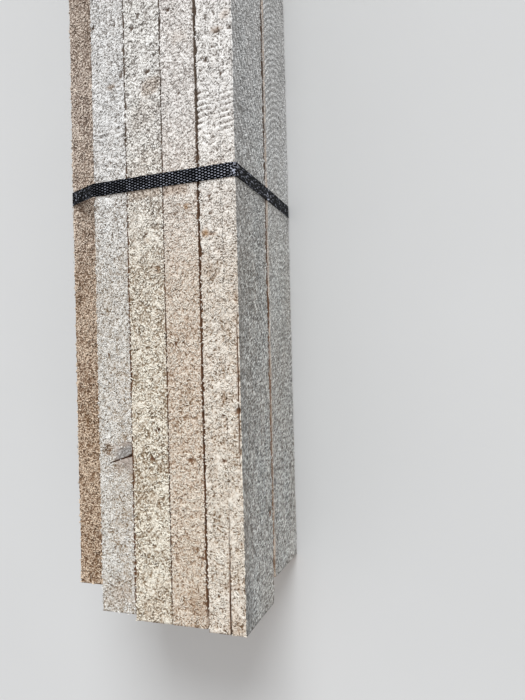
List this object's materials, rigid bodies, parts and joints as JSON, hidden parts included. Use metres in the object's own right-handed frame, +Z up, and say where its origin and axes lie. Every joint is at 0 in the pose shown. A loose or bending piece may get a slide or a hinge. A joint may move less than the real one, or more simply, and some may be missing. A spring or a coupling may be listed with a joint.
{
  "type": "bundle of pine studs",
  "caption": "Bundle of rough-sawn pine studs stacked on edge in two rows and tied with black embossed plastic straps.",
  "frame": {"origin": "bottom centre of the bundle's box, on the floor that the straps' undersides rest on", "axes": "+Z up, Y along the studs with the pictured end at -Y, X across the bundle, the picture's right at +X"},
  "size_m": [0.2302, 2.4314, 0.1922],
  "materials": {
    "pine_rough": "rough-sawn, dry, fuzzy",
    "strap_black": "embossed, slightly glossy"
  },
  "bodies": {
    "root": {"stud_top_1": "pine_rough", "stud_top_2": "pine_rough", "stud_top_3": "pine_rough", "stud_top_4": "pine_rough", "stud_top_5": "pine_rough", "stud_bottom_1": "pine_rough", "stud_bottom_2": "pine_rough", "stud_bottom_3": "pine_rough", "stud_bottom_4": "pine_rough", "stud_bottom_5": "pine_rough", "strap_near": "strap_black", "strap_far": "strap_black"}
  },
  "joints": []
}
